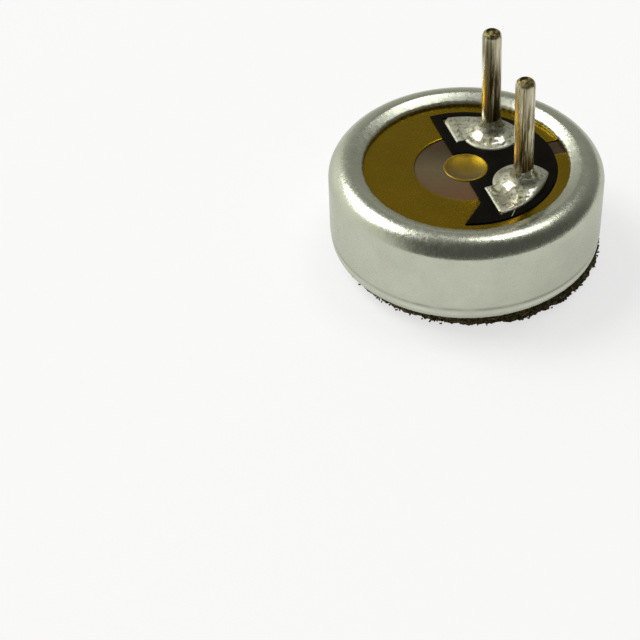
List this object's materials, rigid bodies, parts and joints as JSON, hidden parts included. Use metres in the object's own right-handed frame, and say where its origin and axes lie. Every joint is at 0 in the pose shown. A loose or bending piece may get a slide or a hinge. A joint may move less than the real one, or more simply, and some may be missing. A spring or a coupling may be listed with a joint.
{
  "type": "electret microphone capsule",
  "caption": "Round electret microphone capsule: an aluminium can rolled over its circuit board, wire terminals soldered on the back and a felt cover on the front.",
  "frame": {"origin": "middle of the felt's underside, on the can's axis", "axes": "+Z along the terminals, away from the felt; +X the board's line of symmetry, towards the gap in the foil ring; the output terminal is at +Y and the ground terminal at -Y"},
  "size_m": [0.006, 0.006, 0.0048],
  "materials": {
    "aluminium": "satin drawn sheet",
    "felt": "wool felt, fuzzy",
    "brass": "stamped, plain",
    "nickel": "nickel plated",
    "film": "metallised polymer film",
    "plastic": "moulded",
    "laminate": "glass-fibre laminate",
    "foil": "gold plated copper foil, dull",
    "copper": "plated copper",
    "mask": "matt black lacquer",
    "mould": "moulded epoxy",
    "ceramic": "fired ceramic",
    "solder": "crinkled solder",
    "pin": "thinly tinned brass wire with draw marks"
  },
  "bodies": {
    "root": {"case": "aluminium", "felt_cover": "felt", "diaphragm_ring": "brass", "diaphragm": "film", "spacer_ring": "plastic", "electret_film": "film", "back_plate": "brass", "insulator_ring": "plastic", "gate_ring": "nickel", "circuit_board": "laminate", "vias": "copper", "ground_foil": "foil", "output_pad": "foil", "centre_pad": "foil", "solder_mask": "mask", "gate_foil": "foil", "drain_foil": "foil", "source_foil": "foil", "transistor": "mould", "transistor_leads": "nickel", "capacitor": "ceramic", "capacitor_ends": "nickel", "component_solder": "solder", "output_pin": "pin", "ground_pin": "pin", "output_solder": "solder", "ground_solder": "solder"}
  },
  "joints": []
}
